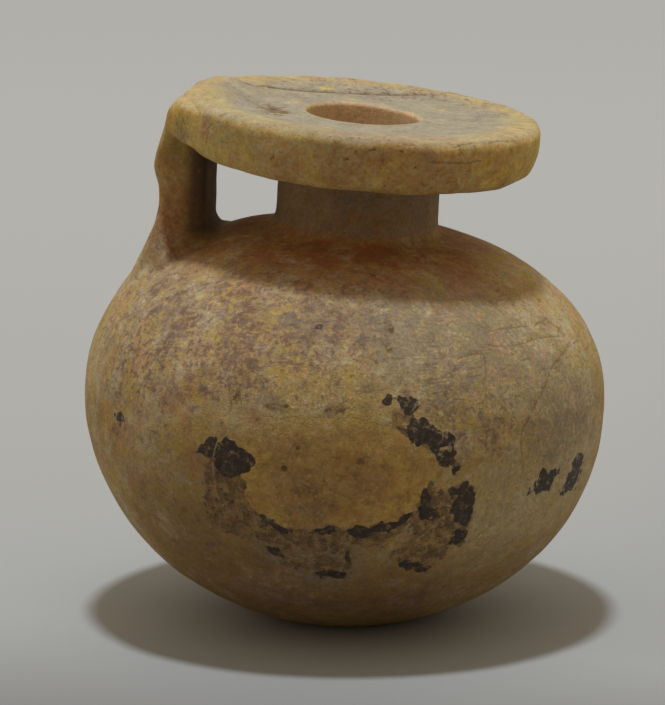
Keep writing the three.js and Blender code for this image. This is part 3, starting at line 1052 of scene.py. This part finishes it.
# Pits and dents as place, radius, depth
def scatterPits():
    made = []
    for k in range(wear["pits"]):
        place = onBelly(chance.uniform(0, 2 * math.pi), chance.uniform(*wear["pitHeights"]))
        made.append((place, chance.uniform(*wear["pitRadius"]), chance.uniform(*wear["pitDepth"])))
    for k in range(wear["dents"]):
        turn = chance.uniform(0, 2 * math.pi)
        at = disc["radius"] * np.array([math.cos(turn), math.sin(turn), 0])
        at[2] = discTop - chance.choice(wear["dentDrops"])
        place = standUp(tiltTop(at[None, :]))[0]
        made.append((place, chance.uniform(*wear["dentRadius"]), chance.uniform(*wear["dentDepth"])))
    return made


# Flakes of old paint left on the sides and the back, as place, half width, half height
def scatterFlakes():
    made = []
    lowest, highest = wear["flakeHeights"]
    for k in range(wear["flakes"]):
        angle = math.radians(chance.uniform(*wear["flakeAngles"]))
        place = onBelly(angle, max(lowest, min(highest, chance.gauss(-4, 7))))
        high = chance.uniform(*wear["flakeHalfHigh"])
        made.append((place, chance.uniform(*wear["flakeHalfWide"]), high))
    return made


allPits = pits + scatterPits()
flakes = scatterFlakes()


def farFrom(points, place):
    return np.linalg.norm(points - place, axis=1)


# Pits, dents, cracks and the groove across the mouth, pressed into the mesh
def press(piece):
    middles, facing = facesOf(piece)
    fine = np.zeros(len(middles), bool)
    for place, radius, depth in allPits:
        if radius < 0.9:
            fine |= farFrom(middles, place) < radius + 0.45
    refine(piece, fine, 2)
    middles, facing = facesOf(piece)
    edges = np.abs(fromOutlines(middles, facing, marks["paint"] + marks["film"])) < 0.7
    edges |= fromLines(middles, facing, lines["cracks"] + lines["scratches"] + [groove])[1] < 0.8
    refine(piece, edges, 1)
    points, normals = pointsOf(piece), normalsOf(piece)
    sink = np.zeros(len(points))
    for place, radius, depth in allPits:
        share = np.clip(1 - (farFrom(points, place) / radius) ** 2, 0, 1)
        sink = np.maximum(sink, depth * share ** 1.2)
    for name, found in (("groove", [groove]), ("crack", lines["cracks"])):
        share = smoothStep(wear[name + "Reach"], 0, fromLines(points, normals, found)[1])
        sink = np.maximum(sink, wear[name + "Depth"] * share)
    setPoints(piece, points - normals * sink[:, None])


for piece in pieces:
    press(piece)
print("pits pressed", {p.name: len(p.data.polygons) for p in pieces})


def wander(points, size, shift):
    return np.array([noise.noise(Vector(p / size) + Vector((shift, 2 * shift, -shift))) for p in points])


# How strongly the soft zones of one kind show
def fade(points, found):
    left = np.ones(len(points))
    for place, reach, strength in found:
        left *= 1 - strength * np.exp(-(farFrom(points, place) / reach) ** 2)
    return 1 - left


def keep(piece, name, values):
    made = piece.data.attributes.new(name, "FLOAT", "POINT")
    made.data.foreach_set("value", np.asarray(values, np.float32))


# Stains, marks, painted shade and painted light are kept on the vertices, for the clay's material to read
def layStains(piece):
    points, normals = pointsOf(piece), normalsOf(piece)
    x, y, z = toFlask(points).T
    reach = np.hypot(x, y)
    isMouth = smoothStep(undersideHeight - 0.6, undersideHeight + 0.2, z)
    isMouth = np.maximum(isMouth, smoothStep(18, 21, z) * smoothStep(14, 16, -x))
    below = 1 - isMouth
    unseen = smoothStep(0.1, 0.5, (points @ -shotBack + 5) / 31) * below
    nearNeck = smoothStep(21, 12, reach) * smoothStep(9, 13, z) * below
    onNeck = smoothStep(seatHeight + 0.4, seatHeight + 1.6, z) * smoothStep(12.5, 11, reach) * below
    onTop = isMouth * smoothStep(0.35, 0.75, normals[:, 2])
    onRim = isMouth * (1 - onTop)
    onStrap = smoothStep(15.5, 17, -x) * smoothStep(17, 20, z) * smoothStep(33.5, 29.5, z)
    onStrap = onStrap * smoothStep(10, 8, np.abs(y))
    low = smoothStep(-6, -22, z)
    drift = [wander(points, 10 + 2 * k, 5.3 * k + 1) for k in range(5)]
    patchy = [unseen * smoothStep(start, full, drift[k]) for k, start, full in (
        (0, -0.1, 0.35), (1, 0, 0.4), (3, 0, 0.4), (4, 0.1, 0.5))]
    rules = {
        "mouth": isMouth * (1 - 0.5 * onStrap),
        # Painted shade: the strap's inner side is darkened, where shade falls between the strap and the
        # neck
        "strapInnerShade": onStrap * smoothStep(20.2, 18.6, -x),
        "mauve": 0.2 - 0.2 * onRim + 0.7 * patchy[0] + 0.15 * onTop,
        "grey": 0.15 - 0.15 * onRim + 0.7 * patchy[1] + 0.15 * onTop + 0.5 * onNeck,
        "dust": onTop * (0.45 + 0.4 * smoothStep(19, 15, reach)),
        # Darker brown towards the bottom, and painted shade on the neck under the disc and on the strap
        "soilAndShade": 0.8 * low * smoothStep(-0.6, 0.2, drift[2]) + 0.7 * onNeck + 0.1 * onStrap,
        "olive": 0.25 + 0.6 * patchy[2] + 0.5 * onNeck - 0.1 * onTop,
        # Redder clay in patches, and partly painted shade round the shoulder under the disc and on the
        # strap
        "rustAndShade": 0.7 * nearNeck * (1 - onNeck) + 0.2 * onStrap + 0.4 * patchy[3],
        "pale": 0.2 * isMouth + 0.1 * onTop + 0.2 * onNeck,
        "specks": 0.12 + 0.3 * onRim,
        "ochre": np.zeros(len(points)),
        # Painted light: the bore's wall under the mouth is laid paler, as if lit
        "bore": smoothStep(7.4, 6.4, reach) * smoothStep(seatHeight - 2, seatHeight, z),
        "brushed": smoothStep(3, 8, z) * smoothStep(18, 14, z) * below,
    }
    for name, rule in rules.items():
        keep(piece, name, 1 - (1 - np.clip(rule, 0, 1)) * (1 - fade(points, spots.get(name, ()))))
    bits, torn = np.full(len(points), clearOf), 1.4 * wander(points, 1.7, 3.1)
    for place, wide, high in flakes:
        off = points - place
        share = np.hypot(np.hypot(off[:, 0], off[:, 1]) / wide, off[:, 2] / high)
        bits = np.minimum(bits, (share - 1) * min(wide, high) + torn)
    bare = fromOutlines(points, normals, marks["bare"])
    for name, within in (("paint", 0), ("film", 0.9)):
        away = np.minimum(fromOutlines(points, normals, marks[name]), bits - within)
        keep(piece, name, np.maximum(away, -bare))
    keep(piece, "worn", fromOutlines(points, normals, marks["worn"]))
    for name in ("cracks", "scratches"):
        signed, near = fromLines(points, normals, lines[name])
        keep(piece, name, signed)
        keep(piece, name + "Near", near)
    # Painted shade: darker along the groove across the mouth and in the pits
    hollowShade = 0.75 * smoothStep(0.85, 0.1, fromLines(points, normals, [groove])[1])
    for place, radius, depth in pits:
        dark = smoothStep(1.4 * radius, 0.4 * radius, farFrom(points, place))
        hollowShade = np.maximum(hollowShade, min(1, 5 * depth) * dark)
    keep(piece, "hollowShade", hollowShade)


for piece in pieces:
    layStains(piece)
print("stains laid")


# A colour written as it looks, 0 to 255, turned into what a shader takes
def tone(red, green, blue):
    shares = [v / 255 for v in (red, green, blue)]
    return (*[v / 12.92 if v <= 0.04045 else ((v + 0.055) / 1.055) ** 2.4 for v in shares], 1)


# Fired clay, as it is on the body and as it is on the mouth
clays = {
    "cream": [(188, 176, 144), (213, 192, 108)],
    "yellow": [(180, 153, 76), (212, 175, 62)],
    "peach": [(182, 140, 104), (203, 149, 61)],
    "light": [(208, 194, 160), (214, 200, 134)],
}
stains = {
    "umber": (120, 97, 70),
    "dust": (154, 150, 137),
    "mauve": (148, 123, 112),
    "plum": (114, 91, 80),
    "grey": (138, 130, 116),
    "soilAndShade": (134, 105, 62),
    "rustAndShade": (151, 96, 53),
    "olive": (164, 142, 90),
    "pale": (190, 180, 152),
    "film": (114, 94, 68),
    "filmWorn": (158, 131, 90),
    "paint": (58, 48, 42),
    "paintWorn": (82, 68, 54),
    "worn": (202, 166, 88),
    "wornDeep": (168, 126, 72),
    "wornEdge": (212, 180, 90),
    "speck": (100, 68, 44),
    "scratch": (182, 160, 128),
    # paler colour that stands in for light inside the bore
    "bore": (210, 180, 142),
}
stains = {name: tone(*seen) for name, seen in stains.items()}


# Tools for materials
def feed(tree, node, inputs):
    for key, value in inputs.items():
        if isinstance(value, bpy.types.NodeSocket):
            tree.links.new(value, node.inputs[key])
        else:
            node.inputs[key].default_value = value


def addNode(tree, kind, inputs=None, **settings):
    node = tree.nodes.new("ShaderNode" + kind)
    for key, value in settings.items():
        setattr(node, key, value)
    feed(tree, node, inputs or {})
    return node


def addMath(tree, operation, a, b):
    return addNode(tree, "Math", {0: a, 1: b}, operation=operation).outputs[0]


def addVector(tree, operation, a, b):
    inputs = {0: a, "Scale" if operation == "SCALE" else 1: b}
    return addNode(tree, "VectorMath", inputs, operation=operation).outputs


# From `bottom` where the value is `low` to `top` where it is `high`
def addRamp(tree, value, low, high, top=1.0, bottom=0.0, shape="SMOOTHSTEP"):
    values = {"Value": value, "From Min": low, "From Max": high, "To Min": bottom, "To Max": top}
    return addNode(tree, "MapRange", values, interpolation_type=shape).outputs[0]


def addMix(tree, share, a, b, blend="MIX"):
    inputs = {0: share, 6: a, 7: b}
    return addNode(tree, "Mix", inputs, data_type="RGBA", blend_type=blend).outputs[2]


def addNoise(tree, place, size, detail=3.0, rough=0.6):
    values = {"Vector": place, "Scale": 1 / (size * mm), "Detail": detail, "Roughness": rough}
    return addNode(tree, "TexNoise", values).outputs


def newMaterial(name):
    material = bpy.data.materials.new(name)
    material.use_nodes = True
    tree = material.node_tree
    return material, tree, addNode(tree, "TexCoord").outputs["Object"]


# The three slots share one build, so that the clay runs on from piece to piece
def clayMaterial(name):
    material, tree, place = newMaterial(name)
    ramp, mix = partial(addRamp, tree), partial(addMix, tree)
    times, plus, minus = (partial(addMath, tree, k) for k in ("MULTIPLY", "ADD", "SUBTRACT"))

    def blotch(*pattern):
        return addNoise(tree, *pattern)[0]

    # Three patterns of one size that don't follow each other
    def threeBlotches(*pattern):
        both = addNoise(tree, bent, *pattern)["Color"]
        return addNode(tree, "SeparateColor", {0: both}).outputs

    def kept(attribute):
        return addNode(tree, "Attribute", attribute_name=attribute).outputs["Fac"]

    # A kept attribute, broken up by a pattern
    def broken(attribute, *pattern):
        return times(kept(attribute), ramp(*pattern))

    def lay(stain, share, under):
        return mix(share, under, stains[stain])

    # Several stains, each with the pattern that it follows
    def layAll(under, *steps):
        for stain, *pattern in steps:
            under = lay(stain, ramp(*pattern), under)
        return under

    # More of a mottle where its zone is strong
    def mottle(pattern, hue, level, zone, gain):
        both = plus(times(pattern, 0.6), times(hue, 0.4))
        return minus(both, minus(level, times(zone, gain)))

    def jag(distance, *steps):
        for size, far in steps:
            distance = plus(distance, times(minus(blotch(bent, size, 2.0), 0.5), far))
        return distance

    swirl = addVector(tree, "SUBTRACT", addNoise(tree, place, 2.6, 3.0, 0.5)["Color"], (0.5, 0.5, 0.5))[0]
    swirl = addVector(tree, "SCALE", swirl, 0.6 * mm)[0]
    bent = addVector(tree, "ADD", place, swirl)[0]
    middle = blotch(bent, 2.4, 5.0, 0.65)
    small = blotch(bent, 0.8, 6.0, 0.78)
    fine = blotch(place, 0.32, 3.0, 0.65)
    speckled = blotch(place, 0.62, 5.0, 0.75)
    flecked = blotch(place, 0.42, 4.0, 0.7)
    streak = blotch(addVector(tree, "MULTIPLY", bent, (0.14, 0.14, 1.0))[0], 0.42, 4.0, 0.6)
    mouth, mauve, hollowShade = kept("mouth"), kept("mauve"), kept("hollowShade")

    # Bare clay: cream, yellow and peach through each other, in patches and in grains
    patches = threeBlotches(4.2, 3.0, 0.5)
    grains = threeBlotches(1.3, 6.0, 0.7)
    hues = [plus(times(wide, 0.45), times(narrow, 0.55)) for wide, narrow in zip(patches, grains)]
    bare = {clay: mix(mouth, tone(*onBody), tone(*onMouth)) for clay, (onBody, onMouth) in clays.items()}
    color = mix(ramp(hues[0], 0.4, 0.56), bare["cream"], bare["yellow"])
    color = mix(ramp(hues[1], 0.45, 0.6, 0.8), color, bare["peach"])
    color = lay("olive", broken("olive", hues[2], 0.36, 0.54), color)
    color = lay("umber", times(minus(0.75, times(mouth, 0.35)), ramp(speckled, 0.46, 0.34)), color)
    color = mix(ramp(flecked, 0.54, 0.68, 0.5), color, bare["light"])
    for stain, *pattern in (
            ("rustAndShade", hues[1], 0.3, 0.56), ("soilAndShade", hues[0], 0.24, 0.5), ("pale", small, 0.35, 0.65),
            ("dust", hues[2], 0.3, 0.44)):
        color = lay(stain, broken(stain, *pattern), color)
    # Painted shade on the strap's inner side, laid in the worn paint's dark brown
    color = lay("paintWorn", broken("strapInnerShade", middle, 0.2, 0.45, 0.85), color)

    # What is left of a purple-brown wash
    wash = ramp(mottle(small, hues[2], 0.64, mauve, 0.17), -0.06, 0.06, 0.85)
    color = mix(wash, color, layAll(stains["mauve"], ("plum", hues[1], 0.42, 0.54)))
    grey = mottle(blotch(bent, 0.5, 4.0, 0.7), hues[0], 0.65, kept("grey"), 0.2)
    color = layAll(color, ("grey", grey, -0.05, 0.08, 0.75))
    color = lay("plum", broken("brushed", streak, 0.56, 0.68, 0.5), color)

    # Worn through to smoother clay, with a brighter edge where the flakes came off
    worn = jag(kept("worn"), (1.5, 0.9), (0.45, 0.45))
    isWorn = broken("ochre", worn, 0.04, -0.05)
    inner = lay("wornDeep", ramp(blotch(bent, 3.2, 3.0), 0.42, 0.62), stains["worn"])
    inner = lay("wornEdge", ramp(worn, -1.9, -0.15, 0.8), inner)
    inner = lay("plum", times(mauve, ramp(middle, 0.3, 0.6)), inner)
    inner = layAll(
        inner, ("wornDeep", grains[1], 0.46, 0.6, 0.7), ("umber", grains[0], 0.52, 0.62, 0.6),
        ("wornEdge", flecked, 0.54, 0.68, 0.5))
    color = mix(times(isWorn, 0.85), color, inner)

    # Brown film, then the dark paint on it, both with scalloped edges and small losses
    cells = {"Vector": bent, "Scale": 1 / (0.75 * mm), "Randomness": 1.0}
    scallops = addNode(tree, "TexVoronoi", cells, feature="SMOOTH_F1").outputs["Distance"]
    scallops = times(minus(scallops, 0.45), 0.85)
    film = plus(jag(kept("film"), (1.7, 0.9), (0.5, 0.3)), scallops)
    isFilm = times(ramp(film, 0.2, -0.3), ramp(grains[2], 0.36, 0.48, 0.92))
    isFilm = times(isFilm, ramp(worn, -0.05, 0.04))
    color = mix(isFilm, color, layAll(
        stains["film"], ("filmWorn", grains[0], 0.4, 0.6), ("rustAndShade", grains[1], 0.52, 0.64, 0.5),
        ("paintWorn", middle, 0.48, 0.58, 0.6), ("paint", speckled, 0.48, 0.38, 0.8)))
    paint = plus(jag(kept("paint"), (1.1, 0.35)), scallops)
    isPaint = times(ramp(paint, 0.12, -0.05), ramp(blotch(bent, 0.8, 5.0, 0.7), 0.67, 0.54))
    color = mix(isPaint, color, layAll(stains["paint"], ("paintWorn", small, 0.42, 0.62)))

    # Specks, cracks, scratches, painted shade in the groove and the pits, and painted light in the bore
    speck = minus(blotch(bent, 0.85, 5.0, 0.65), minus(0.74, times(kept("specks"), 0.14)))
    color = layAll(color, ("speck", speck, -0.02, 0.06, 0.7))
    for mark, width, shade, share in (("cracks", 0.2, "soilAndShade", 0.65), ("scratches", 0.14, "scratch", 0.55)):
        across = addMath(tree, "ABSOLUTE", jag(kept(mark), (1.3, 0.45), (0.35, 0.16)), 0)
        line = times(ramp(across, width, 0.3 * width, share), ramp(kept(mark + "Near"), 0.62, 0.38))
        color = lay(shade, times(line, ramp(hues[0], 0.38, 0.5)), color)
    # Painted shade: the film's brown laid in the groove and the pits
    hollowShading = ramp(plus(hollowShade, minus(small, 0.5)), 0.25, 0.75, 0.85)
    color = lay("film", times(hollowShading, ramp(hollowShade, 0, 0.2)), color)
    # Painted light: the bore's wall laid paler
    color = lay("bore", broken("bore", small, 0.1, 0.5), color)
    color = mix(ramp(fine, 0.25, 0.75, 0.25), color, (0.72, 0.66, 0.58, 1), "MULTIPLY")
    for pattern, deep in ((blotch(place, 0.45, 5.0, 0.8), 0.22), (middle, 0.16)):
        color = mix(1.0, color, ramp(pattern, 0.3, 0.7, 1 + deep, 1 - deep, "LINEAR"), "MULTIPLY")

    height = times(small, 0.45)
    for pattern, share in ((fine, 0.3), (blotch(place, 0.13, 2.0), 0.12), (isPaint, 0.3), (isWorn, -0.3)):
        height = plus(height, times(pattern, share))
    feed(tree, tree.nodes["Principled BSDF"], {
        "Base Color": color,
        "Roughness": ramp(isPaint, 0, 1, 0.58, 0.9, "LINEAR"),
        "Specular IOR Level": 0.3,
        "Normal": addNode(tree, "Bump", {
            "Height": height, "Strength": 0.7, "Distance": 0.34 * mm}).outputs[0],
    })
    return material


# The CAD node that each piece stands for, and its slot
standsFor = {
    "thrownBody": ("vessel_body", "body_clay"),
    "neckTube": ("neck", "body_clay"),
    "mouthDisc": ("mouth_disc", "mouth_clay"),
    "pulledStrap": ("strap_handle", "mouth_clay"),
    "neckFootClay": ("neck_foot_seam", "luting_clay"),
    "neckHeadClay": ("neck_head_seam", "luting_clay"),
    "strapFootClay": ("strap_foot_seam", "luting_clay"),
    "strapHeadClayFront": ("strap_head_seam_front", "luting_clay"),
    "strapHeadClayBack": ("strap_head_seam_back", "luting_clay"),
}
materials = {slot: clayMaterial(slot) for slot in sorted({slot for node, slot in standsFor.values()})}
for piece in pieces:
    node, slot = standsFor[piece.name]
    piece.data.materials.clear()
    piece.data.materials.append(materials[slot])
    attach(piece, "root")
    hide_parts(node)
print("clay laid on")

# Stage: a pale table, a lamp high overhead and a soft room, dimmer and warmer towards the front
stage = {
    "size": 8.0,
    "table": (0.372, 0.384, 0.388, 1),
    "tableFrontShade": (0.223, 0.228, 0.235, 1),
    "tableFar": (0.419, 0.43, 0.432, 1),
    "frontShadeFrom": (-0.005, -0.062),  # painted shade on the table deepens from here to here
    "sideShadeFrom": (0.01, 0.09, 0.57),  # and painted shade to the right, by this share
    "farFrom": (0.04, 0.3),
    "paperGrain": 2 / 3,  # mm
    "lampAt": (-0.037, -0.030, 1.6),
    "lampSize": 0.16,
    "lampPower": 16.1,
    "lampTint": (0.868, 0.934, 1.0),
    "roomSides": (0.65, 0.56, 0.445, 1),
    "roomFront": (0.35, 0.268, 0.17, 1),
    "front": (0.156, -0.988, 0.0),
    "frontSpread": (-0.1, 0.85),
    "behind": (0.418, 0.418, 0.392, 1),
}


# Matt table top, with painted shade that makes it a little darker where it comes forward and to the right,
# and a faint paper grain
def tableMaterial():
    material, tree, place = newMaterial("table")
    x, y, z = addNode(tree, "SeparateXYZ", {0: place}).outputs
    ramp, mix = partial(addRamp, tree), partial(addMix, tree)
    # Painted shade: the table is darker towards the front and to the right
    share = addMath(tree, "MAXIMUM", ramp(y, *stage["frontShadeFrom"]), ramp(x, *stage["sideShadeFrom"]))
    color = mix(share, stage["table"], stage["tableFrontShade"])
    color = mix(ramp(y, *stage["farFrom"], shape="LINEAR"), color, stage["tableFar"])
    grain = addNoise(tree, place, stage["paperGrain"], 2.0, 0.5)[0]
    bump = addNode(tree, "Bump", {"Height": grain, "Strength": 0.2, "Distance": 0.1 * mm})
    feed(tree, tree.nodes["Principled BSDF"], {
        "Base Color": color,
        "Normal": bump.outputs[0],
        "Roughness": 0.9,
        "Specular IOR Level": 0.2,
    })
    return material


def addStage():
    deselectAll()
    bpy.ops.mesh.primitive_plane_add(size=stage["size"], location=(0, 0, 0))
    floor = bpy.context.object
    floor.name = "floor"
    floor.data.materials.append(tableMaterial())
    bpy.ops.object.light_add(type="AREA", location=stage["lampAt"])
    lamp = bpy.context.object
    lamp.name = "lamp"
    lamp.data.shape = "DISK"
    lamp.data.size = stage["lampSize"]
    lamp.data.energy = stage["lampPower"]
    lamp.data.color = stage["lampTint"]


# The room lights the flask, and rays that look past it see an even pale wall
def addRoom():
    room = bpy.data.worlds.new("room")
    bpy.context.scene.world = room
    room.use_nodes = True
    tree = room.node_tree
    toward = addNode(tree, "TexCoord").outputs["Generated"]
    toward = addVector(tree, "DOT_PRODUCT", toward, stage["front"])["Value"]
    share = addRamp(tree, toward, *stage["frontSpread"])
    tint = addMix(tree, share, stage["roomSides"], stage["roomFront"])
    even, seen = tree.nodes["Background"], addNode(tree, "Background")
    feed(tree, even, {"Color": tint, "Strength": 1})
    feed(tree, seen, {"Color": stage["behind"], "Strength": 1})
    path = addNode(tree, "LightPath").outputs
    looks = path["Is Camera Ray"]
    for ray in ("Is Glossy Ray", "Is Transmission Ray"):
        looks = addMath(tree, "MAXIMUM", looks, path[ray])
    both = addNode(tree, "MixShader", {0: looks, 1: even.outputs[0], 2: seen.outputs[0]})
    feed(tree, tree.nodes["World Output"], {"Surface": both.outputs[0]})


addStage()
addRoom()
bpy.context.scene.view_settings.view_transform = "Standard"
print("stage set")
